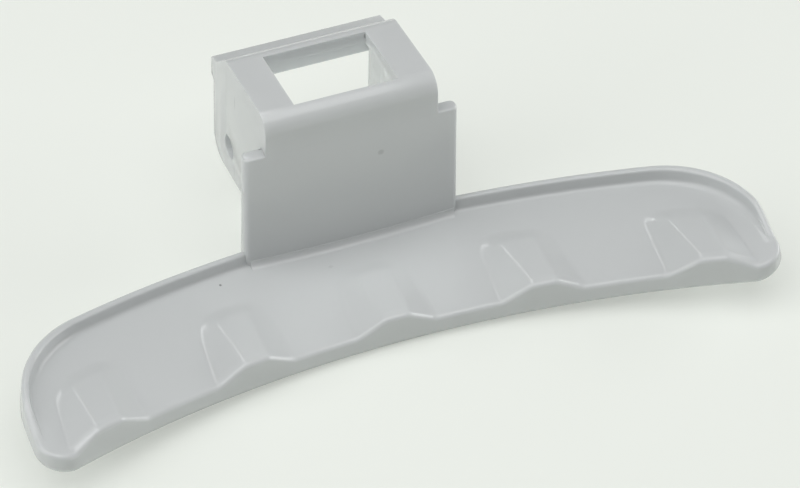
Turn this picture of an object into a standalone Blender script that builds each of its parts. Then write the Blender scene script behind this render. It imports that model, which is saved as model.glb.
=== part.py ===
# Washing machine door handle: one glossy plastic moulding.
# A curved grip with finger ridges lies show face down. A plate rises from its
# back edge and carries a hinge box with a window, a back bar and a pin bore.
# Lengths are in millimetres and turned into metres where vertices are made.
# X runs along the grip, -Y is the finger edge and +Z the side the box is on.
import math

import bmesh
import bpy

MM = 0.001

# Grip seen from above
HALF_LENGTH = 80.0
BACK_RADIUS = 176.0        # convex back edge
BACK_CROWN = 3.7           # how far the back edge stands behind the plate's face
BACK_CORNER = 26.0
FRONT_RADIUS = 174.8       # finger edge, concave
FRONT_CROWN = -27.4
FRONT_CORNER = 5.5
SHOW_FACE_RADIUS = 357.0   # the show face bows along the grip

# Grip in section. Widths go from the grip's outline in to the tray.
FLOOR = 5.2                # tray floor above the show face
BACK_WIDTH = 2.5
END_WIDTH = 2.2
FINGER_WIDTH = 1.6
CORNER_WIDENING = 1.4      # the rim gets wider round the back corners
BACK_FLARE = 0.5           # slope of the outer wall, from crest to outline
FINGER_FLARE = 0.3
RIM_HEIGHT = 2.8
RIM_LEAN = 0.3             # inner wall leans out over its height
RIM_FADE_START = -27.0     # the rim runs out along both ends
RIM_FADE_END = -38.0
CREST_EDGE = 1.0           # rounding at the top of the rim and finger edge
SHOW_EDGE = 2.3            # rounding round the show face

# Finger ridges
RIDGE_END = 15.0           # from the outermost ridges to the grip's ends
RIDGE_PITCH = (HALF_LENGTH - RIDGE_END) / 2
RIDGE_RISE = 3.4           # at the finger edge
RIDGE_START = 10.0         # tray left plain between the rim and the ridges
RIDGE_START_RISE = 0.6
RIDGE_TOP = 2.2            # half width of the level top, at the finger edge
RIDGE_FOOT = 8.9           # half width at the foot, at the finger edge
RIDGE_START_TOP = 3.3
RIDGE_START_FOOT = 7.6
RIDGE_START_ROUND = 0.08   # how far the corners of a ridge's start are cut back
RIDGE_CREASE = 0.18        # rounded share of each flank, at its top and foot

# Plate
PLATE_THICK = 2.9
PLATE_FOOT_THICK = 4.4
PLATE_TOP = 35.6
PLATE_HALF_TOP = 22.45
PLATE_HALF_FOOT = 23.4
PLATE_FOOT_FRONT = -1.0    # the face leans back from its foot
PLATE_EDGE = 1.2
PLATE_ROOT = 3.6           # how deep in the grip the plate starts

# Hinge box
BOX_HALF = 18.75           # at the back bar's underside
BOX_DRAFT = math.radians(1.0)
CHEEK_BACK = 32.4
CHEEK_THICK = 2.9
CHEEK_FOOT_FRONT = 13.5    # the cheeks' lower edges fall towards the back
CHEEK_FOOT_BACK = 8.4
CHEEK_FOOT_ROUND = 5.0
ROOF_FRONT = 45.2          # roof height at the plate's face, before rounding
ROOF_FRONT_ROUND = 3.6
ROOF_BEND = (24.8, 40.4)   # where the roof turns down to the back bar
ROOF_BEND_ROUND = 5.0
BAND_FOOT = (30.2, 35.1)   # where the band between roof and bar ends
BAND_FOOT_ROUND = 0.6
ROOF_THICK = 3.0
BAND_THICK = 3.2           # measured straight down, between roof and bar
BAR_BACK = 33.9
BAR_FRONT = 28.9
BAR_TOP = 33.7
BAR_TOP_ROUND = 1.2
BAR_BOTTOM = 28.9
BAR_STEP = 0.8             # slope under the bar's overhang
WINDOW_HALF = 11.2
WINDOW_FRONT = 3.7
WINDOW_BACK = 22.6
BORE_Y = 22.45
BORE_Z = 17.7
BORE_RADIUS = 2.7
POCKET_ROUND = 0.8         # inside corners of the pocket

# Plastic
PLASTIC_COLOUR = (0.62, 0.64, 0.62, 1.0)
PLASTIC_ROUGHNESS = 0.3

# Mesh fineness
RUNGS = 12                 # grid rows across the tray
ROUND_STEPS = 5
BORE_STEPS = 32

# Centres of the grip's plan arcs, from the sizes above
BACK_CENTRE = BACK_CROWN - BACK_RADIUS
FRONT_CENTRE = FRONT_CROWN - FRONT_RADIUS
BACK_CORNER_X = HALF_LENGTH - BACK_CORNER
BACK_CORNER_Y = BACK_CENTRE + math.sqrt((BACK_RADIUS - BACK_CORNER) ** 2 - BACK_CORNER_X ** 2)
FRONT_CORNER_X = HALF_LENGTH - FRONT_CORNER
FRONT_CORNER_Y = FRONT_CENTRE + math.sqrt((FRONT_RADIUS + FRONT_CORNER) ** 2 - FRONT_CORNER_X ** 2)
# The origin is midway between the finger edge's corners and the back bar
Y_SHIFT = -(FRONT_CORNER_Y - FRONT_CORNER + BAR_BACK) / 2


def clear_scene():
    for obj in list(bpy.data.objects):
        bpy.data.objects.remove(obj, do_unlink=True)


def metres(x, y, z):
    return (x * MM, (y + Y_SHIFT) * MM, z * MM)


def lift(x):
    """Height gained by the bowed show face at x."""
    return SHOW_FACE_RADIUS - math.sqrt(SHOW_FACE_RADIUS ** 2 - x * x)


def smooth(t):
    t = min(max(t, 0.0), 1.0)
    return t * t * (3 - 2 * t)


def slope(t):
    """Straight climb from 0 to 1 with rounded ends."""
    t = min(max(t, 0.0), 1.0)
    bend = 2 * RIDGE_CREASE * (1 - RIDGE_CREASE)
    if t < RIDGE_CREASE:
        return t * t / bend
    if t > 1 - RIDGE_CREASE:
        return 1 - (1 - t) ** 2 / bend
    return (t - RIDGE_CREASE / 2) / (1 - RIDGE_CREASE)


# The grip's outline, each point with its outward normal in plan

def back_curve(x):
    if abs(x) <= BACK_CORNER_X * BACK_RADIUS / (BACK_RADIUS - BACK_CORNER):
        up = math.sqrt(BACK_RADIUS ** 2 - x * x)
        return (x, BACK_CENTRE + up), (x / BACK_RADIUS, up / BACK_RADIUS)
    over = abs(x) - BACK_CORNER_X
    up = math.sqrt(max(BACK_CORNER ** 2 - over * over, 0.0))
    return (x, BACK_CORNER_Y + up), (math.copysign(1.0, x) * over / BACK_CORNER, up / BACK_CORNER)


def front_curve(x):
    if abs(x) <= FRONT_CORNER_X * FRONT_RADIUS / (FRONT_RADIUS + FRONT_CORNER):
        up = math.sqrt(FRONT_RADIUS ** 2 - x * x)
        return (x, FRONT_CENTRE + up), (-x / FRONT_RADIUS, -up / FRONT_RADIUS)
    over = abs(x) - FRONT_CORNER_X
    down = math.sqrt(max(FRONT_CORNER ** 2 - over * over, 0.0))
    nx = math.copysign(1.0, x) * over / FRONT_CORNER
    return (x, FRONT_CORNER_Y - down), (nx, -down / FRONT_CORNER)


def edge_width(normal):
    """Distance from the outline in to the tray."""
    nx, ny = normal
    if ny < 0:
        return END_WIDTH * nx * nx + FINGER_WIDTH * ny * ny
    return END_WIDTH * nx * nx + BACK_WIDTH * ny * ny + CORNER_WIDENING * (2 * nx * ny) ** 2


def edge_flare(normal):
    nx, ny = normal
    return BACK_FLARE * nx * nx + (FINGER_FLARE if ny < 0 else BACK_FLARE) * ny * ny


def tray_border(point, normal):
    width = edge_width(normal)
    return point[0] - normal[0] * width, point[1] - normal[1] * width


def stations():
    """X positions of the grid lines, closer together on the ridges and ends."""
    marks = set()
    for ridge in range(-2, 3):
        for step in (0.0, 1.1, 2.1, 2.8, 3.5, 4.9, 6.3, 7.6, 8.3, 9.0):
            marks.add(round(ridge * RIDGE_PITCH + step, 4))
            marks.add(round(ridge * RIDGE_PITCH - step, 4))
    for gap in (-1.5, -0.5, 0.5, 1.5):
        for step in (-3.5, 0.0, 3.5):
            marks.add(round(gap * RIDGE_PITCH + step, 4))
    for step in (4.6, 3.4, 2.3, 1.4, 0.7, 0.2, 0.0):
        marks.add(HALF_LENGTH - step)
        marks.add(step - HALF_LENGTH)
    return sorted(marks)


# The tray's surface

def ridge_height(x, along):
    """Height of the ridges at x, with along 0 where they start and 1 at the finger edge."""
    nearest = min(abs(x - ridge * RIDGE_PITCH) for ridge in range(-2, 3))
    begun = along - RIDGE_START_ROUND * (nearest / RIDGE_FOOT) ** 2
    if begun <= 0.0:
        return 0.0
    along = min(along, 1.0)
    rise = RIDGE_START_RISE * smooth(begun * 8) + (RIDGE_RISE - RIDGE_START_RISE) * min(begun, 1.0)
    top = RIDGE_START_TOP + (RIDGE_TOP - RIDGE_START_TOP) * along
    foot = RIDGE_START_FOOT + (RIDGE_FOOT - RIDGE_START_FOOT) * along
    return rise * (1 - slope((nearest - top) / (foot - top)))


def tray_column(x):
    """Points from the finger side to the rim, on one grid line across the tray."""
    front, back = tray_border(*front_curve(x)), tray_border(*back_curve(x))
    depth = back[1] - front[1]
    column = []
    for rung in range(RUNGS + 1):
        share = rung / RUNGS
        px, py = (a + (b - a) * share for a, b in zip(front, back))
        along = (depth * (1 - share) - RIDGE_START) / max(depth - RIDGE_START, 1.0)
        column.append((px, py, FLOOR + ridge_height(px, along)))
    return column


def rim_height(y, on_finger_side):
    if on_finger_side:
        return 0.0
    return RIM_HEIGHT * smooth((y - RIM_FADE_END) / (RIM_FADE_START - RIM_FADE_END))


def edge_section(floor, rise, width, flare):
    """Outward offset and height of each ring, from the tray down to the show face."""
    top = floor + rise
    crest = width - flare - CREST_EDGE
    lean = min(RIM_LEAN, crest / 3)
    section = [(0.0, floor), (lean, floor + 0.8 * rise)]
    for step in range(5):
        turn = math.pi / 2 * max(step - 1, 0) / 3
        start = 2 * lean if step == 0 else crest
        section.append((start + CREST_EDGE * math.sin(turn), top - CREST_EDGE * (1 - math.cos(turn))))
    for step in range(5):
        turn = math.pi / 2 * step / 4
        out = width - SHOW_EDGE * (1 - math.cos(turn))
        section.append((out, SHOW_EDGE * (1 - math.sin(turn))))
    return section


def tray_grid(bm, marks):
    """Grid of vertices over the tray, one column for each station."""
    columns = []
    for x in marks:
        columns.append([bm.verts.new(metres(px, py, z + lift(px))) for px, py, z in tray_column(x)])
    for left, right in zip(columns, columns[1:]):
        for rung in range(RUNGS):
            bm.faces.new((left[rung], right[rung], right[rung + 1], left[rung + 1]))
    return columns


def outline(marks):
    """Point, normal and side of the grip's outline, anticlockwise from the left front."""
    end = marks[-1]
    points = [(*front_curve(x), True) for x in marks]
    low, high = front_curve(end)[0][1], back_curve(end)[0][1]
    side = [low + (high - low) * rung / RUNGS for rung in range(1, RUNGS)]
    points += [((end, y), (1.0, 0.0), False) for y in side]
    points += [(*back_curve(x), False) for x in reversed(marks)]
    points += [((-end, y), (-1.0, 0.0), False) for y in reversed(side)]
    return points


def around(columns):
    """The border of a grid of columns, in the same order as the outline."""
    border = [column[0] for column in columns]
    border += columns[-1][1:-1]
    border += [column[-1] for column in reversed(columns)]
    border += list(reversed(columns[0][1:-1]))
    return border


def add_edge_rings(bm, points, floors, inner):
    """Rim, finger edge and rounded show edge, ring by ring."""
    sections = []
    for (point, normal, on_finger_side), floor in zip(points, floors):
        rise = rim_height(point[1], on_finger_side)
        sections.append(edge_section(floor, rise, edge_width(normal), edge_flare(normal)))
    for ring in range(1, len(sections[0])):
        outer = []
        for (point, normal, _), section in zip(points, sections):
            bx, by = tray_border(point, normal)
            out, z = section[ring]
            px, py = bx + normal[0] * out, by + normal[1] * out
            outer.append(bm.verts.new(metres(px, py, z + lift(px))))
        for i in range(len(outer)):
            k = (i + 1) % len(outer)
            bm.faces.new((inner[i], outer[i], outer[k], inner[k]))
        inner = outer
    return inner


def close_show_face(bm, ring, count):
    """Faces across the show face between opposite points of the last ring."""
    front = ring[:count]
    side = RUNGS - 1
    back = list(reversed(ring[count + side:2 * count + side]))
    for i in range(1, count - 2):
        bm.faces.new((front[i], back[i], back[i + 1], front[i + 1]))
    right = ring[count - 2:count + side + 2]
    bm.faces.new(list(reversed(right)))
    left = ring[2 * count + side - 2:] + ring[:2]
    bm.faces.new(list(reversed(left)))


def make_object(name, bm):
    bmesh.ops.recalc_face_normals(bm, faces=bm.faces)
    mesh = bpy.data.meshes.new(name)
    bm.to_mesh(mesh)
    bm.free()
    obj = bpy.data.objects.new(name, mesh)
    bpy.context.collection.objects.link(obj)
    return obj


def make_grip():
    bm = bmesh.new()
    marks = stations()
    columns = tray_grid(bm, marks)
    floors = [z for _, _, z in around([tray_column(x) for x in marks])]
    last = add_edge_rings(bm, outline(marks), floors, around(columns))
    close_show_face(bm, last, len(marks))
    return make_object("grip", bm)


# The plate and the hinge box

def rounded(corners):
    """Closed outline through (y, z, radius) corners, with an arc at each radius."""
    points = []
    for i, (y, z, radius) in enumerate(corners):
        if radius == 0:
            points.append((y, z))
            continue
        before, after = corners[i - 1], corners[(i + 1) % len(corners)]
        a = math.atan2(before[1] - z, before[0] - y)
        b = math.atan2(after[1] - z, after[0] - y)
        half = math.acos(math.cos(a - b)) / 2
        middle = math.atan2(math.sin(a) + math.sin(b), math.cos(a) + math.cos(b))
        cy = y + radius / math.sin(half) * math.cos(middle)
        cz = z + radius / math.sin(half) * math.sin(middle)
        sweep = math.pi / 2 - half
        turn = 1 if math.sin(b - a) < 0 else -1
        for step in range(ROUND_STEPS + 1):
            angle = middle + math.pi + turn * sweep * (2 * step / ROUND_STEPS - 1)
            points.append((cy + radius * math.cos(angle), cz + radius * math.sin(angle)))
    return points


def extrude_outline(name, points, half_at):
    """Solid from a (y, z) outline, its half width given at each height."""
    bm = bmesh.new()
    left = [bm.verts.new(metres(-half_at(z), y, z)) for y, z in points]
    right = [bm.verts.new(metres(half_at(z), y, z)) for y, z in points]
    bm.faces.new(left)
    bm.faces.new(list(reversed(right)))
    for i in range(len(points)):
        k = (i + 1) % len(points)
        bm.faces.new((left[i], right[i], right[k], left[k]))
    return make_object(name, bm)


def box_half(z):
    return BOX_HALF - (z - BAR_BOTTOM) * math.tan(BOX_DRAFT)


def roof_at(y):
    return ROOF_FRONT + (ROOF_BEND[1] - ROOF_FRONT) * y / ROOF_BEND[0]


def band_at(y):
    fall = (BAND_FOOT[1] - ROOF_BEND[1]) / (BAND_FOOT[0] - ROOF_BEND[0])
    return ROOF_BEND[1] + fall * (y - ROOF_BEND[0])


def make_box():
    corners = [
        (0.0, CHEEK_FOOT_FRONT, 0),
        (CHEEK_BACK, CHEEK_FOOT_BACK, CHEEK_FOOT_ROUND),
        (CHEEK_BACK, BAR_BOTTOM - BAR_STEP, 0),
        (BAR_BACK, BAR_BOTTOM, 0),
        (BAR_BACK, BAR_TOP, BAR_TOP_ROUND),
        (*BAND_FOOT, BAND_FOOT_ROUND),
        (*ROOF_BEND, ROOF_BEND_ROUND),
        (0.0, ROOF_FRONT, ROOF_FRONT_ROUND),
    ]
    return extrude_outline("box", rounded(corners), box_half)


def make_cavity():
    """Room between the cheeks, open below and behind, under the roof and bar."""
    beyond = 5.0
    knee = ROOF_BEND[0] - ROOF_THICK / 3
    corners = [
        (PLATE_THICK, CHEEK_FOOT_BACK - beyond, 0),
        (BAR_BACK + beyond, CHEEK_FOOT_BACK - beyond, 0),
        (BAR_BACK + beyond, BAR_BOTTOM, 0),
        (BAR_FRONT, BAR_BOTTOM, 0),
        (BAR_FRONT, band_at(BAR_FRONT) - BAND_THICK, POCKET_ROUND),
        (knee, roof_at(knee) - ROOF_THICK, POCKET_ROUND),
        (PLATE_THICK, roof_at(PLATE_THICK) - ROOF_THICK, POCKET_ROUND),
    ]
    inside = BOX_HALF - CHEEK_THICK
    return extrude_outline("cavity", rounded(corners), lambda z: inside)


def make_window():
    points = [(WINDOW_FRONT, BAR_TOP), (WINDOW_BACK, BAR_TOP),
              (WINDOW_BACK, ROOF_FRONT + 5), (WINDOW_FRONT, ROOF_FRONT + 5)]
    return extrude_outline("window", points, lambda z: WINDOW_HALF)


def make_bore():
    """Pin bore through both cheeks."""
    points = []
    for step in range(BORE_STEPS):
        angle = 2 * math.pi * step / BORE_STEPS
        points.append((BORE_Y + BORE_RADIUS * math.cos(angle), BORE_Z + BORE_RADIUS * math.sin(angle)))
    return extrude_outline("bore", points, lambda z: BOX_HALF + 5)


def make_plate():
    """Drafted slab with its upright edges eased."""
    bm = bmesh.new()
    rings = []
    for half, front, thick, z in ((PLATE_HALF_FOOT, PLATE_FOOT_FRONT, PLATE_FOOT_THICK, PLATE_ROOT),
                                  (PLATE_HALF_TOP, 0.0, PLATE_THICK, PLATE_TOP)):
        right = []
        for step in range(2 * ROUND_STEPS + 2):
            corner, part = divmod(step, ROUND_STEPS + 1)
            angle = math.pi / 2 * (part / ROUND_STEPS + corner - 1)
            side = front + (thick - PLATE_EDGE if corner else PLATE_EDGE)
            across = half - PLATE_EDGE + PLATE_EDGE * math.cos(angle)
            right.append((across, side + PLATE_EDGE * math.sin(angle)))
        plan = right + [(-x, y) for x, y in reversed(right)]
        rings.append([bm.verts.new(metres(x, y, z)) for x, y in plan])
    bottom, top = rings
    bm.faces.new(bottom)
    bm.faces.new(list(reversed(top)))
    for i in range(len(top)):
        k = (i + 1) % len(top)
        bm.faces.new((bottom[i], top[i], top[k], bottom[k]))
    return make_object("plate", bm)


# Joining

def combine(target, other, operation):
    """Boolean of two solids; the second one is used up."""
    modifier = target.modifiers.new(operation.lower(), "BOOLEAN")
    modifier.operation = operation
    modifier.solver = "EXACT"
    modifier.object = other
    bpy.context.view_layer.objects.active = target
    bpy.ops.object.modifier_apply(modifier=modifier.name)
    bpy.data.objects.remove(other, do_unlink=True)


def plastic():
    material = bpy.data.materials.new("glossy_plastic")
    material.use_nodes = True
    shader = material.node_tree.nodes["Principled BSDF"]
    shader.inputs["Base Color"].default_value = PLASTIC_COLOUR
    shader.inputs["Roughness"].default_value = PLASTIC_ROUGHNESS
    shader.inputs["Metallic"].default_value = 0.0
    return material


def finish(obj):
    """Drop leftover flat vertices and shade the rounded surfaces smooth."""
    bm = bmesh.new()
    bm.from_mesh(obj.data)
    bmesh.ops.remove_doubles(bm, verts=bm.verts, dist=0.00001)
    bmesh.ops.dissolve_degenerate(bm, edges=bm.edges, dist=0.00001)
    bmesh.ops.triangulate(bm, faces=bm.faces)
    bmesh.ops.recalc_face_normals(bm, faces=bm.faces)
    bm.to_mesh(obj.data)
    bm.free()
    obj.data.shade_smooth()
    obj.data.set_sharp_from_angle(angle=math.radians(35))


def main():
    clear_scene()
    box = make_box()
    for cutter in (make_cavity(), make_window(), make_bore()):
        combine(box, cutter, "DIFFERENCE")
    handle = make_grip()
    combine(handle, make_plate(), "UNION")
    combine(handle, box, "UNION")
    finish(handle)
    handle.name = handle.data.name = "door_handle"
    handle.data.materials.clear()
    handle.data.materials.append(plastic())


main()
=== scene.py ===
# %% [markdown]
# # A washing machine door handle
#
# The handle is one glossy, off-white plastic moulding. It lies show face down, the way a
# spare part is photographed: we look into the back of the grip, at the plate that stands
# up from it and at the hinge box that the door's pin and latch lever go into.
#
# The measured solid comes first, and the detailed handle is built round the same sizes.
# Lengths are in millimetres and are turned into metres where points are placed.

# %% Load the measured solid
import math

import bmesh
import bpy
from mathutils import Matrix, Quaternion, Vector


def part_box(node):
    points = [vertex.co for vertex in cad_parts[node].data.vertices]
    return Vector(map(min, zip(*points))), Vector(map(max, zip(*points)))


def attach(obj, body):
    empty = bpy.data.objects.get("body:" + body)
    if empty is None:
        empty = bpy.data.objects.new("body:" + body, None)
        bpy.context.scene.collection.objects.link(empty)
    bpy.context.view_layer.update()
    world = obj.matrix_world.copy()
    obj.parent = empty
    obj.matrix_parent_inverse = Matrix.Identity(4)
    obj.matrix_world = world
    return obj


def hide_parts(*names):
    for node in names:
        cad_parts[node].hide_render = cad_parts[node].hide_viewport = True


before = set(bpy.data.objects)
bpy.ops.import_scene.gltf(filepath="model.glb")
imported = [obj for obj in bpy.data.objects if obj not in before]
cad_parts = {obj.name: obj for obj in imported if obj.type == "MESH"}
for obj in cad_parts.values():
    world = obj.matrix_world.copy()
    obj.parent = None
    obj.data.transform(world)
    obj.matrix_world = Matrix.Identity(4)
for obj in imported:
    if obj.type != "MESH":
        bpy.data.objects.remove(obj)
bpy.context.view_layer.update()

MM = 0.001

# %% [markdown]
# ## Working as by hand
#
# Blender's operators act on everything that is selected, in the mode that is open. Small
# helpers keep that in order: one deselects everything before a primitive is added, two open
# a mesh for editing and close it again, and one puts a piece's place into its mesh.


# %% Small helpers
def fresh_start():
    """Nothing selected, so the next primitive stands alone."""
    bpy.ops.object.select_all(action="DESELECT")


def edit(piece, mode="VERT"):
    """Open a piece for editing with nothing selected, and hand over its editable mesh."""
    bpy.context.view_layer.objects.active = piece
    bpy.ops.object.mode_set(mode="EDIT")
    bpy.ops.mesh.select_mode(type=mode)
    bpy.ops.mesh.select_all(action="DESELECT")
    return bmesh.from_edit_mesh(piece.data)


def close(piece):
    """Hand the edited mesh back and leave edit mode."""
    bmesh.update_edit_mesh(piece.data)
    bpy.ops.object.mode_set(mode="OBJECT")


def settle(piece, name):
    """Name a piece and put its place, turn and size into its mesh."""
    piece.name = piece.data.name = name
    fresh_start()
    piece.select_set(True)
    bpy.context.view_layer.objects.active = piece
    bpy.ops.object.transform_apply(location=True, rotation=True, scale=True)
    return piece


print("helpers ready, mode:", bpy.context.mode)

# %% [markdown]
# ## Where the handle stands
#
# The plate's front face is the natural datum of the moulding: the grip, the plate and the
# box are all measured from it. The solid's origin is in the middle of its length and width,
# so one shift along Y turns a measure from the datum into a place in the scene. It could be
# worked out from every size of the grip, but the back of the hinge box's bar is the
# rearmost point of the handle and gives it at once.

# %% Datum
BAR_BACK = 33.9            # back of the bar behind the plate's front face
Y_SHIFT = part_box("door_handle")[1].y / MM - BAR_BACK
print("the plate's front face stands at y =", round(Y_SHIFT, 2), "mm")


def metres(x, y, z):
    """Scene point from millimetres, with y measured from the plate's front face."""
    return Vector((x * MM, (y + Y_SHIFT) * MM, z * MM))


# %% [markdown]
# ## The grip's outline
#
# Seen from above the grip is a crescent: a convex back edge, a hollow finger edge, large
# round back corners and tight front ones. It could be traced as a free curve, but a
# designer draws it with arcs: each edge runs tangentially into its corner arcs. So the
# outline is a function of x that hands back a point and the direction that faces outwards
# there.

# %% Outline
HALF_LENGTH = 80.0
BACK_RADIUS = 176.0
BACK_CROWN = 3.7           # the back edge's highest point, behind the plate's face
BACK_CORNER = 26.0
FRONT_RADIUS = 174.8
FRONT_CROWN = -27.4
FRONT_CORNER = 5.5
SHOW_FACE_RADIUS = 357.0   # the show face bows along the grip

BACK_CENTRE = BACK_CROWN - BACK_RADIUS
FRONT_CENTRE = FRONT_CROWN - FRONT_RADIUS
BACK_CORNER_X = HALF_LENGTH - BACK_CORNER
BACK_CORNER_Y = BACK_CENTRE + math.sqrt((BACK_RADIUS - BACK_CORNER) ** 2 - BACK_CORNER_X ** 2)
FRONT_CORNER_X = HALF_LENGTH - FRONT_CORNER
FRONT_CORNER_Y = FRONT_CENTRE + math.sqrt((FRONT_RADIUS + FRONT_CORNER) ** 2 - FRONT_CORNER_X ** 2)


def lift(x):
    """Height gained by the bowed show face at x."""
    return SHOW_FACE_RADIUS - math.sqrt(SHOW_FACE_RADIUS ** 2 - x * x)


def back_curve(x):
    """Point and outward direction of the back edge at x."""
    if abs(x) <= BACK_CORNER_X * BACK_RADIUS / (BACK_RADIUS - BACK_CORNER):
        up = math.sqrt(BACK_RADIUS ** 2 - x * x)
        return (x, BACK_CENTRE + up), (x / BACK_RADIUS, up / BACK_RADIUS)
    over = abs(x) - BACK_CORNER_X
    up = math.sqrt(max(BACK_CORNER ** 2 - over * over, 0.0))
    return (x, BACK_CORNER_Y + up), (math.copysign(1.0, x) * over / BACK_CORNER, up / BACK_CORNER)


def front_curve(x):
    """Point and outward direction of the finger edge at x."""
    if abs(x) <= FRONT_CORNER_X * FRONT_RADIUS / (FRONT_RADIUS + FRONT_CORNER):
        up = math.sqrt(FRONT_RADIUS ** 2 - x * x)
        return (x, FRONT_CENTRE + up), (-x / FRONT_RADIUS, -up / FRONT_RADIUS)
    over = abs(x) - FRONT_CORNER_X
    down = math.sqrt(max(FRONT_CORNER ** 2 - over * over, 0.0))
    nx = math.copysign(1.0, x) * over / FRONT_CORNER
    return (x, FRONT_CORNER_Y - down), (nx, -down / FRONT_CORNER)


print("front corners reach y =", round(FRONT_CORNER_Y - FRONT_CORNER, 1), "mm")

# %% [markdown]
# ## The grip's section
#
# A cut across the grip shows a tray with a rim along its back and round its back corners,
# and a plain rounded finger edge in front. The rim's wall leans a little, so that the
# moulding leaves its tool, meets the tray in a small fillet and ends in a rounded crest.
# One profile could be swept along the outline, but the rim changes its width and runs out
# towards the front, so each place on the outline gets a section of its own. Widths go from
# the outline in to the tray.

# %% Section sizes
FLOOR = 5.2                # tray above the show face
BACK_WIDTH = 2.5
END_WIDTH = 2.2
FINGER_WIDTH = 1.6
CORNER_WIDENING = 0.3      # the rim is wider round the back corners
BACK_FLARE = 0.5           # how far the outer wall leans out below its crest
FINGER_FLARE = 0.3
RIM_HEIGHT = 2.8
RIM_LEAN = 0.3             # inner wall leans out over its height
RIM_FADE_START = -27.0     # the rim runs out along both ends
RIM_FADE_END = -38.0
TRAY_FILLET = 0.8          # between the tray and the rim
END_FILLET = 1.2           # the same at both ends
INNER_CREST = 0.5          # rounding of the crest's inner side
CREST_EDGE = 1.0           # and of its outer side
SHOW_EDGE = 2.3            # rounding round the show face
FILLET_LIMIT = 0.7         # roundings shrink with the rim: largest shares of its height
INNER_LIMIT = 0.3
CREST_SHARE = 0.8          # largest share of the crest that its inner rounding takes
FILLET_STEPS, CREST_STEPS, SHOW_STEPS = 4, 7, 9

print("rim's crest, mm above the show face:", FLOOR + RIM_HEIGHT)


# %% The edge's section
def smooth(t):
    """0 to 1 with a level start and end."""
    t = min(max(t, 0.0), 1.0)
    return t * t * (3 - 2 * t)


def edge_width(normal):
    """Distance from the outline in to the tray's fillet."""
    nx, ny = normal
    if ny < 0:
        return END_WIDTH * nx * nx + FINGER_WIDTH * ny * ny
    return END_WIDTH * nx * nx + BACK_WIDTH * ny * ny + CORNER_WIDENING * (2 * nx * ny) ** 2


def edge_flare(normal):
    nx, ny = normal
    return BACK_FLARE * nx * nx + (FINGER_FLARE if ny < 0 else BACK_FLARE) * ny * ny


def edge_fillet(normal):
    return TRAY_FILLET + (END_FILLET - TRAY_FILLET) * normal[0] ** 2


def rim_height(y, on_finger_side):
    if on_finger_side:
        return 0.0
    return RIM_HEIGHT * smooth((y - RIM_FADE_END) / (RIM_FADE_START - RIM_FADE_END))


def arc(steps, start=0.0, end=math.pi / 2):
    """Angles in equal steps, over a quarter turn unless told otherwise."""
    return [start + (end - start) * step / steps for step in range(steps + 1)]


def edge_section(floor, rise, width, flare, reach):
    """Outward offset and height of each ring, from the tray down to the show face."""
    top = floor + rise
    outer = width - flare - CREST_EDGE
    lean = min(RIM_LEAN, outer / 3)
    fillet = min(reach, FILLET_LIMIT * rise)
    inner = min(INNER_CREST, INNER_LIMIT * rise, CREST_SHARE * (outer - lean))
    section = [(-reach, floor)]
    section += [(fillet * (math.sin(turn) - 1), floor + fillet * (1 - math.cos(turn)))
                for turn in arc(FILLET_STEPS)]
    section += [(lean + inner * (1 - math.cos(turn)), top - inner * (1 - math.sin(turn)))
                for turn in arc(FILLET_STEPS)]
    section += [(outer + CREST_EDGE * math.sin(turn), top - CREST_EDGE * (1 - math.cos(turn)))
                for turn in arc(CREST_STEPS)]
    section += [(width - SHOW_EDGE * (1 - math.cos(turn)), SHOW_EDGE * (1 - math.sin(turn)))
                for turn in arc(SHOW_STEPS)]
    return section


back_section = edge_section(FLOOR, RIM_HEIGHT, BACK_WIDTH, BACK_FLARE, TRAY_FILLET)
print("rings round the grip:", len(back_section))

# %% [markdown]
# ## The finger ridges
#
# Five low ridges give the fingertips a hold behind the finger edge. Each starts as a faint
# rounded swelling in the tray and climbs towards the edge, where it makes the wavy line one
# sees from the front. They could be wedges that are joined to the tray, but the real ones
# flow out of it, so they are a height that is added to the tray. Their flanks are straight
# slopes with a small rounding at the top and the foot, where they catch thin lines of light.

# %% Ridges
RIDGE_END = 15.0           # from the outermost ridges to the grip's ends
RIDGE_INNER = 31.3         # from the middle ridge to its neighbours
RIDGES = (RIDGE_END - HALF_LENGTH, -RIDGE_INNER, 0.0, RIDGE_INNER, HALF_LENGTH - RIDGE_END)
RIDGE_RISE = 3.4           # at the finger edge
RIDGE_LENGTH = 17.4        # from the finger edge back into the tray
RIDGE_START_RISE = 0.5
RIDGE_START_BLEND = 0.25   # share of the length over which the start rises
RIDGE_TOP = 2.2            # half width of the level top, at the finger edge
RIDGE_FOOT = 8.9           # half width at the foot, at the finger edge
RIDGE_START_TOP = 3.3
RIDGE_START_FOOT = 7.6
RIDGE_START_ROUND = 0.08   # how far the corners of a ridge's start are cut back
RIDGE_CREASE = 0.12        # rounded share of each flank


def slope(t):
    """Straight climb from 0 to 1 with rounded ends."""
    t = min(max(t, 0.0), 1.0)
    bend = 2 * RIDGE_CREASE * (1 - RIDGE_CREASE)
    if t < RIDGE_CREASE:
        return t * t / bend
    if t > 1 - RIDGE_CREASE:
        return 1 - (1 - t) ** 2 / bend
    return (t - RIDGE_CREASE / 2) / (1 - RIDGE_CREASE)


def ridge_height(x, along):
    """Height at x, with along 0 where the ridges start and 1 at the finger edge."""
    nearest = min(abs(x - ridge) for ridge in RIDGES)
    begun = along - RIDGE_START_ROUND * (nearest / RIDGE_FOOT) ** 2
    if begun <= 0.0:
        return 0.0
    along = min(along, 1.0)
    rise = RIDGE_START_RISE * smooth(begun / RIDGE_START_BLEND)
    rise += (RIDGE_RISE - RIDGE_START_RISE) * min(begun, 1.0)
    top = RIDGE_START_TOP + (RIDGE_TOP - RIDGE_START_TOP) * along
    foot = RIDGE_START_FOOT + (RIDGE_FOOT - RIDGE_START_FOOT) * along
    return rise * (1 - slope((nearest - top) / (foot - top)))


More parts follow.
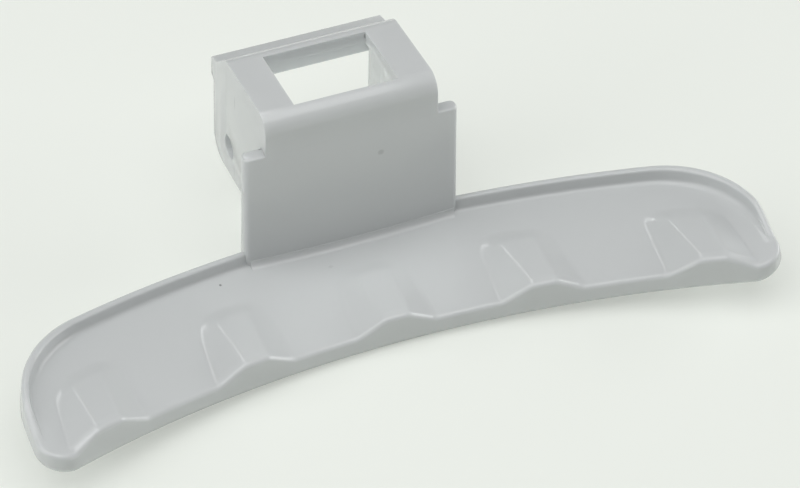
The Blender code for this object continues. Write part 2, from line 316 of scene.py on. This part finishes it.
print("ridges:", len(RIDGES), "- height at the edge, mm:", ridge_height(0.0, 1.0))

# %% [markdown]
# ## The tray
#
# The tray could be cut out of a block, but its floor, ridges and rim all flow into each
# other. A grid that is bent to shape keeps that flow: its columns run across the grip and
# crowd together towards the ends, where the outline turns fastest.

# %% Bend a grid into the tray
COLUMNS = 320
ROWS = 44
CROWDING = 0.97            # 1 would put the outermost columns on top of each other


def station(share):
    """X of a grid column, closer together towards the ends."""
    quarter = CROWDING * math.pi / 2
    return HALF_LENGTH * math.sin(quarter * (2 * share - 1)) / math.sin(quarter)


def inset(point, normal, distance):
    """The point moved inwards from the outline."""
    return point[0] - normal[0] * distance, point[1] - normal[1] * distance


def tray_border(point, normal):
    return inset(point, normal, edge_width(normal) + edge_fillet(normal))


def tray_point(column, row):
    """Place in the tray for shares 0 to 1 along the grip and from the finger edge back."""
    x = station(column)
    front, back = tray_border(*front_curve(x)), tray_border(*back_curve(x))
    depth = back[1] - front[1]
    px, py = (a + (b - a) * row for a, b in zip(front, back))
    return px, py, FLOOR + ridge_height(px, 1 - depth * row / RIDGE_LENGTH)


def add_grid(name, place):
    """A unit grid whose points are carried to their places."""
    fresh_start()
    bpy.ops.mesh.primitive_grid_add(x_subdivisions=COLUMNS, y_subdivisions=ROWS, size=1)
    grid = bpy.context.object
    grid.name = grid.data.name = name
    for vertex in grid.data.vertices:
        x, y, z = place(vertex.co.x + 0.5, vertex.co.y + 0.5)
        vertex.co = metres(x, y, z + lift(x))
    return grid


grip = add_grid("grip", tray_point)
print("tray:", len(grip.data.polygons), "faces")

# %% [markdown]
# ## Rim, finger edge and show edge
#
# A bevel can't make a rim whose height changes on the way. So the tray's border is extruded
# ring by ring along the section: up the rim, over its crest, down the outer wall and round
# the show edge. Every border point carries the number of its place on the outline, and an
# extruded point inherits it, so each ring knows where to go.


# %% Number the border
def outline():
    """Point, outward normal and side of each border point, anticlockwise from the left front."""
    marks = [station(column / COLUMNS) for column in range(COLUMNS + 1)]
    low, high = front_curve(HALF_LENGTH)[0][1], back_curve(HALF_LENGTH)[0][1]
    side = [low + (high - low) * row / ROWS for row in range(1, ROWS)]
    points = [(*front_curve(x), True) for x in marks]
    points += [((HALF_LENGTH, y), (1.0, 0.0), False) for y in side]
    points += [(*back_curve(x), False) for x in reversed(marks)]
    points += [((-HALF_LENGTH, y), (-1.0, 0.0), False) for y in reversed(side)]
    return points


def border_numbers():
    """Vertex index of each border point, in the order of the outline."""
    wide = COLUMNS + 1
    numbers = list(range(wide))
    numbers += [row * wide + COLUMNS for row in range(1, ROWS)]
    numbers += [ROWS * wide + column for column in reversed(range(wide))]
    numbers += [row * wide for row in reversed(range(1, ROWS))]
    return numbers


border = outline()
print("border points:", len(border))


# %% Extrude the edge ring by ring
def border_sections(grid):
    """Section of the edge at each border point, from the tray's height there."""
    sections = []
    for (point, normal, on_finger_side), number in zip(border, border_numbers()):
        place = grid.data.vertices[number].co
        floor = place.z / MM - lift(place.x / MM)
        rise = rim_height(point[1], on_finger_side)
        sections.append(edge_section(floor, rise, edge_width(normal), edge_flare(normal),
                                     edge_fillet(normal)))
    return sections


def ring_place(number, ring):
    """Where the numbered border point goes in a ring of the edge."""
    point, normal, _ = border[number]
    out, z = sections[number][ring]
    x, y = inset(point, normal, edge_width(normal) - out)
    return metres(x, y, z + lift(x))


sections = border_sections(grip)
mesh = edit(grip)
tag = mesh.verts.layers.int.new("place")
mesh.verts.ensure_lookup_table()
for number, index in enumerate(border_numbers()):
    mesh.verts[index][tag] = number
    mesh.verts[index].select = True
mesh.select_flush(True)
for face in mesh.faces:
    face.select = False
for edge in mesh.edges:
    edge.select = edge.is_boundary
for ring in range(1, len(sections[0])):
    bpy.ops.mesh.extrude_edges_move()
    mesh = bmesh.from_edit_mesh(grip.data)
    tag = mesh.verts.layers.int["place"]
    for vertex in mesh.verts:
        if vertex.select:
            vertex.co = ring_place(vertex[tag], ring)
close(grip)
print("grip with its edge:", len(grip.data.polygons), "faces")

# %% [markdown]
# ## The show face
#
# The side that is seen on the door is a plain bowed sheet. One large face could fill it, but
# a bow needs points of its own. A second grid with the same columns closes the body: its
# border falls exactly on the last ring, and merging the doubled points sews the two
# together.


# %% Sew on the show face
SEAM = 0.000001            # metres; points of the two borders are closer than this


def show_point(column, row):
    """Place on the show face for shares 0 to 1 along the grip and from the finger edge back."""
    x = station(column)
    front, back = (inset(*curve(x), SHOW_EDGE) for curve in (front_curve, back_curve))
    px, py = (a + (b - a) * row for a, b in zip(front, back))
    return px, py, 0.0


show_face = add_grid("show_face", show_point)
fresh_start()
show_face.select_set(True)
grip.select_set(True)
bpy.context.view_layer.objects.active = grip
bpy.ops.object.join()
edit(grip)
bpy.ops.mesh.select_all(action="SELECT")
bpy.ops.mesh.remove_doubles(threshold=SEAM)
bpy.ops.mesh.normals_make_consistent(inside=False)
close(grip)


def open_edges(piece):
    """Number of edges that don't join two faces; a closed body has none."""
    mesh = bmesh.new()
    mesh.from_mesh(piece.data)
    count = sum(not edge.is_manifold for edge in mesh.edges)
    mesh.free()
    return count


print("grip closed, open edges:", open_edges(grip))

# %% [markdown]
# ## Solids from a side view
#
# The hinge box and its pocket are each a side view that is drawn through a width. They could
# be carved out of cubes, but a sloping roof and round bends are easier to draw. So a filled
# circle with as many corners as the side view has points is laid on that outline and
# extruded across the handle. The width may change with the height: that is the draft which
# lets the moulding slide out of its tool.

# %% Side views
ROUND_STEPS = 12
START_RADIUS = 0.01        # metres; every corner of the start circle is moved


def rounded(corners):
    """Closed outline through (y, z, radius) corners, with an arc at each radius."""
    points = []
    for i, (y, z, radius) in enumerate(corners):
        if radius == 0:
            points.append((y, z))
            continue
        before, after = corners[i - 1], corners[(i + 1) % len(corners)]
        a = math.atan2(before[1] - z, before[0] - y)
        b = math.atan2(after[1] - z, after[0] - y)
        half = math.acos(math.cos(a - b)) / 2
        middle = math.atan2(math.sin(a) + math.sin(b), math.cos(a) + math.cos(b))
        cy = y + radius / math.sin(half) * math.cos(middle)
        cz = z + radius / math.sin(half) * math.sin(middle)
        sweep = math.pi / 2 - half
        turn = 1 if math.sin(b - a) < 0 else -1
        first, last = middle + math.pi - turn * sweep, middle + math.pi + turn * sweep
        for angle in arc(ROUND_STEPS, first, last):
            points.append((cy + radius * math.cos(angle), cz + radius * math.sin(angle)))
    return points


def draw_through(name, points, half_at):
    """Solid from a (y, z) outline, its half width given at each height."""
    fresh_start()
    bpy.ops.mesh.primitive_circle_add(vertices=len(points), radius=START_RADIUS, fill_type="NGON")
    piece = bpy.context.object
    for vertex, (y, z) in zip(piece.data.vertices, points):
        vertex.co = metres(-half_at(z), y, z)
    edit(piece, "FACE")
    bpy.ops.mesh.select_all(action="SELECT")
    bpy.ops.mesh.extrude_region_move()
    mesh = bmesh.from_edit_mesh(piece.data)
    for vertex in mesh.verts:
        if vertex.select:
            vertex.co.x = -vertex.co.x
    bpy.ops.mesh.select_all(action="SELECT")
    bpy.ops.mesh.normals_make_consistent(inside=False)
    close(piece)
    return settle(piece, name)


print("steps in a rounded corner:", ROUND_STEPS)

# %% [markdown]
# ## The hinge box
#
# Behind the plate stands a box with two cheeks, a sloping roof and a bar across its back. It
# could be put together from five walls, but then every corner would need fitting. So it is
# drawn as a full block first, and the pocket for the latch lever, the window in the roof and
# the pin bore are cut out of it, as the cores of the moulding tool do.

# %% The block
BOX_HALF = 18.75           # half width at the back bar's underside
BOX_DRAFT = math.radians(1.0)
CHEEK_BACK = 32.4
CHEEK_THICK = 2.9
CHEEK_FOOT_FRONT = 13.5    # the cheeks' lower edges fall towards the back
CHEEK_FOOT_BACK = 8.4
CHEEK_FOOT_ROUND = 5.0
ROOF_FRONT = 45.2          # roof height at the plate's face, before rounding
ROOF_FRONT_ROUND = 3.6
ROOF_BEND = (24.8, 40.4)   # where the roof turns down to the bar
ROOF_BEND_ROUND = 5.0
BAND_FOOT = (30.2, 35.1)   # where the band from the roof meets the bar
BAND_FOOT_ROUND = 0.6
ROOF_THICK = 3.0
BAND_THICK = 3.2           # measured straight down
BAR_FRONT = 28.9
BAR_TOP = 33.7
BAR_TOP_ROUND = 1.2
BAR_BOTTOM = 28.9
BAR_STEP = 0.8             # slope under the bar's overhang


def box_half(z):
    """Half width of the block at height z: the draft narrows it on the way up."""
    return BOX_HALF - (z - BAR_BOTTOM) * math.tan(BOX_DRAFT)


def roof_at(y):
    return ROOF_FRONT + (ROOF_BEND[1] - ROOF_FRONT) * y / ROOF_BEND[0]


def band_at(y):
    fall = (BAND_FOOT[1] - ROOF_BEND[1]) / (BAND_FOOT[0] - ROOF_BEND[0])
    return ROOF_BEND[1] + fall * (y - ROOF_BEND[0])


box = draw_through("box", rounded([
    (0.0, CHEEK_FOOT_FRONT, 0),
    (CHEEK_BACK, CHEEK_FOOT_BACK, CHEEK_FOOT_ROUND),
    (CHEEK_BACK, BAR_BOTTOM - BAR_STEP, 0),
    (BAR_BACK, BAR_BOTTOM, 0),
    (BAR_BACK, BAR_TOP, BAR_TOP_ROUND),
    (*BAND_FOOT, BAND_FOOT_ROUND),
    (*ROOF_BEND, ROOF_BEND_ROUND),
    (0.0, ROOF_FRONT, ROOF_FRONT_ROUND),
]), box_half)
print("box, mm:", [round(size / MM, 1) for size in box.dimensions])


# %% Cut one solid with another
def combine(target, other, operation):
    """Boolean of two solids; the second one is used up."""
    fresh_start()
    bpy.context.view_layer.objects.active = target
    modifier = target.modifiers.new(operation.lower(), "BOOLEAN")
    modifier.operation = operation
    modifier.solver = "EXACT"
    modifier.object = other
    bpy.ops.object.modifier_apply(modifier=modifier.name)
    bpy.data.objects.remove(other, do_unlink=True)


print("box before it is cut:", len(box.data.polygons), "faces")

# %% Pocket, window and bore
PLATE_THICK = 2.9
WINDOW_HALF = 11.2
WINDOW_FRONT = 3.7
WINDOW_BACK = 22.6
BORE_Y = 22.45
BORE_Z = 17.7
BORE_RADIUS = 2.7
BORE_CORNERS = 96
POCKET_ROUND = 0.8         # inside corners of the pocket
BEYOND = 5.0               # how far a cutter stands out of the box

knee = ROOF_BEND[0] - ROOF_THICK / 3       # the roof's underside bends a little earlier
pocket = draw_through("pocket", rounded([
    (PLATE_THICK, CHEEK_FOOT_BACK - BEYOND, 0),
    (BAR_BACK + BEYOND, CHEEK_FOOT_BACK - BEYOND, 0),
    (BAR_BACK + BEYOND, BAR_BOTTOM, 0),
    (BAR_FRONT, BAR_BOTTOM, 0),
    (BAR_FRONT, band_at(BAR_FRONT) - BAND_THICK, POCKET_ROUND),
    (knee, roof_at(knee) - ROOF_THICK, POCKET_ROUND),
    (PLATE_THICK, roof_at(PLATE_THICK) - ROOF_THICK, POCKET_ROUND),
]), lambda z: BOX_HALF - CHEEK_THICK)
combine(box, pocket, "DIFFERENCE")

fresh_start()
bpy.ops.mesh.primitive_cube_add(
    size=1, location=metres(0, (WINDOW_FRONT + WINDOW_BACK) / 2, ROOF_FRONT))
bpy.ops.transform.resize(value=(2 * WINDOW_HALF * MM, (WINDOW_BACK - WINDOW_FRONT) * MM,
                                2 * (ROOF_FRONT - BAR_TOP) * MM))
combine(box, settle(bpy.context.object, "window"), "DIFFERENCE")

fresh_start()
bpy.ops.mesh.primitive_cylinder_add(
    vertices=BORE_CORNERS, radius=BORE_RADIUS * MM, depth=2 * (BOX_HALF + BEYOND) * MM,
    location=metres(0, BORE_Y, BORE_Z), rotation=(0, math.pi / 2, 0))
combine(box, settle(bpy.context.object, "bore"), "DIFFERENCE")
print("box with its openings, open edges:", open_edges(box))

# %% [markdown]
# ## Eased edges
#
# Moulded edges are never quite sharp. Each could be picked and rounded by itself, but a
# narrow bevel over the whole box gives the same thin bright lines along its corners. An
# angle limit keeps it off the arcs, which are smooth already.

# %% Ease the box's edges
BOX_EDGE = 0.35
BOX_EDGE_STEPS = 3
EASE_ANGLE = math.radians(40)

fresh_start()
bpy.context.view_layer.objects.active = box
bevel = box.modifiers.new("ease", "BEVEL")
bevel.width = BOX_EDGE * MM
bevel.segments = BOX_EDGE_STEPS
bevel.limit_method = "ANGLE"
bevel.angle_limit = EASE_ANGLE
bpy.ops.object.modifier_apply(modifier=bevel.name)
print("eased box:", len(box.data.polygons), "faces, open edges:", open_edges(box))

# %% [markdown]
# ## The plate
#
# The plate joins the grip to the hinge box. It could be a side view drawn through a width
# too, but then its upright edges would stay sharp. So it starts as a cube at the plate's
# size. Its top is drawn in a little, because the plate tapers on the way up. Its upright
# edges are rounded with a bevel, and the edges of its top with a finer one.

# %% Plate
PLATE_FOOT_THICK = 4.4
PLATE_TOP = 35.6
PLATE_HALF_TOP = 23.1
PLATE_HALF_FOOT = 23.5
PLATE_FOOT_FRONT = -1.0    # the face leans back from its foot
PLATE_EDGE = 1.2
PLATE_EDGE_STEPS = 5
PLATE_ROOT = 3.6           # how deep in the grip the plate starts
LOOKS_UP = 0.9             # a face whose normal rises more than this looks up

fresh_start()
bpy.ops.mesh.primitive_cube_add(
    size=1, location=metres(0, PLATE_FOOT_FRONT + PLATE_FOOT_THICK / 2,
                            (PLATE_ROOT + PLATE_TOP) / 2))
bpy.ops.transform.resize(
    value=(2 * PLATE_HALF_FOOT * MM, PLATE_FOOT_THICK * MM, (PLATE_TOP - PLATE_ROOT) * MM))
plate = settle(bpy.context.object, "plate")
mesh = edit(plate, "FACE")
for face in mesh.faces:
    face.select = face.normal.z > LOOKS_UP
bpy.ops.transform.resize(
    value=(PLATE_HALF_TOP / PLATE_HALF_FOOT, PLATE_THICK / PLATE_FOOT_THICK, 1),
    center_override=metres(0, PLATE_FOOT_FRONT, PLATE_TOP))
bpy.ops.transform.translate(value=(0, -PLATE_FOOT_FRONT * MM, 0))
close(plate)
mesh = edit(plate, "EDGE")
for edge in mesh.edges:
    edge.select = abs((edge.verts[0].co - edge.verts[1].co).z) > (PLATE_TOP - PLATE_ROOT) / 2 * MM
bpy.ops.mesh.bevel(offset=PLATE_EDGE * MM, segments=PLATE_EDGE_STEPS)
close(plate)
print("plate:", len(plate.data.polygons), "faces")

# %% Ease the plate's top
PLATE_TOP_EDGE = 0.4
PLATE_TOP_STEPS = 3
ALMOST = 0.01              # a hair below the top face

mesh = edit(plate, "EDGE")
for edge in mesh.edges:
    edge.select = all(vertex.co.z > (PLATE_TOP - ALMOST) * MM for vertex in edge.verts)
bpy.ops.mesh.bevel(offset=PLATE_TOP_EDGE * MM, segments=PLATE_TOP_STEPS)
close(plate)
print("plate, mm:", [round(size / MM, 1) for size in plate.dimensions])

# %% [markdown]
# ## The plate's foot
#
# A fillet runs along the plate's foot, where it meets the tray. A bevel there would have to
# cross the joint of two bodies. So it is a bar with a hollow front: a short side view of the
# corner, repeated across the handle so that it can follow the bow of the tray.

# %% Fillet at the plate's foot
FOOT_FILLET = 1.5
FILLET_BITES = 0.6         # how far the bar reaches into the plate and the tray
FILLET_CORNERS = 10
FILLET_SECTIONS = 40
FILLET_HALF = 22.6

corner = [(FILLET_BITES, -FILLET_BITES), (FILLET_BITES, FOOT_FILLET)]
corner += [(-FOOT_FILLET * (1 - math.cos(turn)), FOOT_FILLET * (1 - math.sin(turn)))
           for turn in arc(FILLET_CORNERS)]
corner += [(-FOOT_FILLET, -FILLET_BITES)]
places = [FILLET_HALF * (2 * step / FILLET_SECTIONS - 1) for step in range(FILLET_SECTIONS + 1)]

fresh_start()
bpy.ops.mesh.primitive_circle_add(vertices=len(corner), radius=START_RADIUS, fill_type="NGON")
fillet = bpy.context.object
for vertex, (y, z) in zip(fillet.data.vertices, corner):
    vertex.co = metres(-FILLET_HALF, PLATE_FOOT_FRONT + y, FLOOR + lift(FILLET_HALF) + z)
edit(fillet, "FACE")
bpy.ops.mesh.select_all(action="SELECT")
for before, x in zip(places, places[1:]):
    bpy.ops.mesh.extrude_region_move(
        TRANSFORM_OT_translate={"value": ((x - before) * MM, 0, (lift(x) - lift(before)) * MM)})
bpy.ops.mesh.select_all(action="SELECT")
bpy.ops.mesh.normals_make_consistent(inside=False)
close(fillet)
settle(fillet, "foot_fillet")
print("fillet, open edges:", open_edges(fillet))

# %% [markdown]
# ## One moulding
#
# Grip, plate, fillet and box are one piece of plastic. They could stay four bodies that bite
# into each other, but light would pass wrongly where they overlap, so they are joined into
# one closed body. Rounded surfaces are shaded smooth, and steeper turns keep their edge.

# %% Join the body
NEAR = 0.000002            # metres; points left closer than this are one point
SMOOTH_ANGLE = math.radians(32)

handle = grip
for part in (plate, fillet, box):
    combine(handle, part, "UNION")
settle(handle, "handle_body")
print("open edges before merging:", open_edges(handle))
edit(handle)
bpy.ops.mesh.select_all(action="SELECT")
bpy.ops.mesh.remove_doubles(threshold=NEAR)
bpy.ops.mesh.normals_make_consistent(inside=False)
close(handle)
fresh_start()
handle.select_set(True)
bpy.context.view_layer.objects.active = handle
bpy.ops.object.shade_smooth_by_angle(angle=SMOOTH_ANGLE)
handle.data.calc_loop_triangles()
print("handle:", len(handle.data.loop_triangles), "triangles, open edges:", open_edges(handle))

# %% [markdown]
# ## Plastic
#
# The moulding is off-white, glossy and slightly cool in tone. A little light passes under
# its surface, as in every pale plastic, which softens the shade in its corners. The part
# also has a few small marks: a dull spot on the plate, a speck and a smudge in the tray, and
# two thin witness lines on the left cheek. The shade inside a pit at the left ear and inside
# one in the window's corner is painted too, as dark spots. They could be painted, but a
# picture ties them to one mesh. Each is a small ellipsoid in the handle's own coordinates
# instead, inside which the colour darkens.

# %% Plastic, marks and the painted shade of two pits
PLASTIC_COLOUR = (0.59, 0.61, 0.61, 1.0)
PLASTIC_ROUGHNESS = 0.15
PLASTIC_IOR = 1.5
UNDER_SURFACE = 0.3        # share of the light that passes under the surface
UNDER_REACH = 0.002        # metres
# the marks' colour, also used for the painted shade inside the two pits
MARK_AND_SHADE_COLOUR = (0.16, 0.17, 0.17, 1.0)
MARK_CORE = 0.4            # share of a mark's size that has its full strength
MARKS_AND_PAINTED_SHADE = {                  # centre and half sizes in millimetres, and strength
    "plate_spot": ((6.2, -0.2, 28.8), (0.9, 0.9, 0.9), 0.25),
    "tray_speck": ((-30.3, -4.3, 6.5), (0.36, 0.42, 0.5), 0.8),
    "tray_smudge": ((-6.8, -6.1, 5.3), (0.7, 0.5, 0.5), 0.12),
    # painted shade: the dark of a small pit in the corner where the left cheek meets the plate's
    # top; the pit itself isn't modelled
    "ear_pit_painted_shade": ((-18.9, 2.6, 35.7), (0.6, 0.5, 0.5), 0.55),
    # painted shade: the dark of a small pit in the window's rear corner; the pit itself isn't cut
    "window_pit_painted_shade": ((11.2, 22.5, 39.6), (0.4, 0.5, 0.9), 0.6),
    "upper_witness_line": ((-18.6, 19.0, 33.4), (0.6, 0.18, 2.6), 0.4),
    "lower_witness_line": ((-18.9, 19.3, 12.9), (0.6, 0.18, 2.4), 0.4),
}

print("marks:", ", ".join(MARKS_AND_PAINTED_SHADE))


# %% Darken the plastic inside the marks and in the painted shade of the pits
def vector_step(tree, operation, first, second=None):
    """Vector operation on the output of the step before."""
    step = tree.nodes.new("ShaderNodeVectorMath")
    step.operation = operation
    tree.links.new(first, step.inputs[0])
    if second is not None:
        step.inputs[1].default_value = second
    return step


def mark_strength(tree, place, centre, half_sizes, strength):
    """Strength inside the mark's ellipsoid, fading out towards its border."""
    offset = vector_step(tree, "SUBTRACT", place, metres(*centre))
    scaled = vector_step(tree, "DIVIDE", offset.outputs[0], Vector(half_sizes) * MM)
    reach = vector_step(tree, "LENGTH", scaled.outputs[0])
    fade = tree.nodes.new("ShaderNodeMapRange")
    fade.interpolation_type = "SMOOTHSTEP"
    tree.links.new(reach.outputs["Value"], fade.inputs["Value"])
    fade.inputs["From Min"].default_value = MARK_CORE
    fade.inputs["From Max"].default_value = 1.0
    fade.inputs["To Min"].default_value = strength
    fade.inputs["To Max"].default_value = 0.0
    return fade.outputs["Result"]


def add_up(tree, values):
    """Sum of several outputs."""
    total = values[0]
    for value in values[1:]:
        add = tree.nodes.new("ShaderNodeMath")
        tree.links.new(total, add.inputs[0])
        tree.links.new(value, add.inputs[1])
        total = add.outputs[0]
    return total


def marked_and_shaded_colour(tree):
    """The plastic's colour, darkened inside the marks and in the painted shade of two pits."""
    place = tree.nodes.new("ShaderNodeTexCoord").outputs["Object"]
    total = add_up(tree, [mark_strength(tree, place, *mark) for mark in MARKS_AND_PAINTED_SHADE.values()])
    mix = tree.nodes.new("ShaderNodeMix")
    mix.data_type = "RGBA"
    tree.links.new(total, mix.inputs["Factor"])
    mix.inputs["A"].default_value = PLASTIC_COLOUR
    mix.inputs["B"].default_value = MARK_AND_SHADE_COLOUR
    return mix.outputs["Result"]


print("strongest mark:", max(MARKS_AND_PAINTED_SHADE, key=lambda name: MARKS_AND_PAINTED_SHADE[name][-1]))


# %% Dress the handle
def plastic(name):
    material = bpy.data.materials.new(name)
    material.use_nodes = True
    tree = material.node_tree
    shader = tree.nodes["Principled BSDF"]
    tree.links.new(marked_and_shaded_colour(tree), shader.inputs["Base Color"])
    shader.inputs["Roughness"].default_value = PLASTIC_ROUGHNESS
    shader.inputs["IOR"].default_value = PLASTIC_IOR
    shader.inputs["Subsurface Weight"].default_value = UNDER_SURFACE
    shader.inputs["Subsurface Radius"].default_value = (1.0, 1.0, 1.0)
    shader.inputs["Subsurface Scale"].default_value = UNDER_REACH
    return material


handle.data.materials.clear()
handle.data.materials.append(plastic("glossy_off_white_plastic"))
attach(handle, "root")
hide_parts("door_handle")
print("material:", handle.data.materials[0].name)

# %% [markdown]
# ## Floor and light
#
# The handle lies on a pale, faintly glowing sheet that shows hardly any shadow. More light
# would whiten the handle too. So a share of glow is mixed in for the camera only: the sheet
# gets paler and its shadow fainter, while the handle is lit by the plain sheet.

# %% Floor
FLOOR_SIZE = 6             # metres
FLOOR_COLOUR = (0.89, 0.92, 0.87, 1.0)
FLOOR_GLOW = (0.81, 0.84, 0.79, 1.0)
GLOW_SHARE = 0.5

fresh_start()
bpy.ops.mesh.primitive_plane_add(size=FLOOR_SIZE)
floor = bpy.context.object
floor.name = floor.data.name = "floor"
floor_material = bpy.data.materials.new("pale_floor")
floor_material.use_nodes = True
floor_shader = floor_material.node_tree.nodes["Principled BSDF"]
floor_shader.inputs["Base Color"].default_value = FLOOR_COLOUR
floor_shader.inputs["Roughness"].default_value = 1.0
floor_shader.inputs["Specular IOR Level"].default_value = 0.0
nodes, links = floor_material.node_tree.nodes, floor_material.node_tree.links
glow = nodes.new("ShaderNodeEmission")
glow.inputs["Color"].default_value = FLOOR_GLOW
share = nodes.new("ShaderNodeMath")
share.operation = "MULTIPLY"
share.inputs[1].default_value = GLOW_SHARE
mix = nodes.new("ShaderNodeMixShader")
links.new(nodes.new("ShaderNodeLightPath").outputs["Is Camera Ray"], share.inputs[0])
links.new(share.outputs[0], mix.inputs["Fac"])
links.new(floor_shader.outputs[0], mix.inputs[1])
links.new(glow.outputs[0], mix.inputs[2])
links.new(mix.outputs[0], nodes["Material Output"].inputs["Surface"])
floor.data.materials.append(floor_material)
print("floor, metres:", round(floor.dimensions.x, 2))

# %% [markdown]
# ## Light
#
# The light is that of a photo tent: even, from all round, a little stronger from the left
# and from above. A bright sky could give that too, but it would light every side alike.
# Large lamps round the handle keep the sides apart. Only the narrow strip high behind the
# handle draws lines: it is what the rounded edges and the fillet mirror. A small lamp under
# the hinge box stands for the light that the pale sheet and the thin walls send up into the
# pocket. Colours are shown by the plain view transform, so that a grey looks as it is set.


# %% Lamps
def direction(azimuth, elevation):
    """Unit vector from angles in degrees; azimuth 0 is in front and -90 on the left."""
    a, e = math.radians(azimuth), math.radians(elevation)
    return Vector((math.sin(a) * math.cos(e), -math.cos(a) * math.cos(e), math.sin(e)))


def stand(name, data, place, turn):
    """Put a lamp or a camera at its place."""
    holder = bpy.data.objects.new(name, data)
    bpy.context.collection.objects.link(holder)
    holder.location = place
    holder.rotation_mode = "QUATERNION"
    holder.rotation_quaternion = turn
    return holder


def softbox(name, azimuth, elevation, size, power, distance=1.0, aim=Vector()):
    """Lamp that looks at the aim point from the given side."""
    towards = direction(azimuth, elevation)
    lamp = bpy.data.lights.new(name, "AREA")
    lamp.shape = "RECTANGLE"
    lamp.size, lamp.size_y = size
    lamp.energy = power
    return stand(name, lamp, aim + towards * distance, towards.to_track_quat("Z", "Y"))


softbox("left", -90, 50, (0.9, 0.9), 4.1)
softbox("left_low", -90, 20, (0.9, 0.5), 1.4)
softbox("right_low", 90, 20, (0.9, 0.5), 4.6)
softbox("overhead", 0, 84, (0.9, 0.9), 4.9)
glint = softbox("glint", 180, 50, (0.10, 0.60), 0.6)
glint.visible_diffuse = False                     # it is seen in the gloss only
below = softbox("below", 0, -58, (0.030, 0.008), 0.0055, distance=0.036, aim=metres(0, 27, 34))
below.visible_camera = below.visible_glossy = False     # and this one isn't seen at all
print("lamps, watts:", {lamp.name: round(lamp.energy, 4) for lamp in bpy.data.lights})

# %% Soft light from all round
SKY_STRENGTH = 0.12

world = bpy.data.worlds.new("studio")
bpy.context.scene.world = world
world.use_nodes = True
sky = world.node_tree.nodes["Background"]
sky.inputs["Color"].default_value = (1.0, 1.0, 1.0, 1.0)
sky.inputs["Strength"].default_value = SKY_STRENGTH
bpy.context.scene.view_settings.view_transform = "Standard"
print("sky strength:", SKY_STRENGTH)

# %% [markdown]
# ## Camera
#
# The photographer stood to the left and looked down steeply with a long lens. The camera
# could be moved by eye, but angles can be measured and changed one by one. So it stands on a
# line from the aim point, given by its angles, and is tilted a little about that line.

# %% Camera
AZIMUTH, ELEVATION, ROLL = -22.07, 46.38, 1.47    # degrees
AIM = metres(10.17, -2.07, 2.0)
DISTANCE = 0.7099          # metres from the aim point
FOCAL_LENGTH, SENSOR_WIDTH = 152.2, 36.0          # millimetres
NEAREST = 0.05             # metres; nothing closer to the lens is drawn

towards = direction(AZIMUTH, ELEVATION)
tilt = Quaternion((0, 0, 1), math.radians(ROLL))
lens = bpy.data.cameras.new("camera")
lens.lens = FOCAL_LENGTH
lens.sensor_width = SENSOR_WIDTH
lens.clip_start = NEAREST
camera = stand("camera", lens, AIM + towards * DISTANCE, towards.to_track_quat("Z", "Y") @ tilt)
bpy.context.scene.camera = camera
print("camera at", [round(value, 3) for value in camera.location])
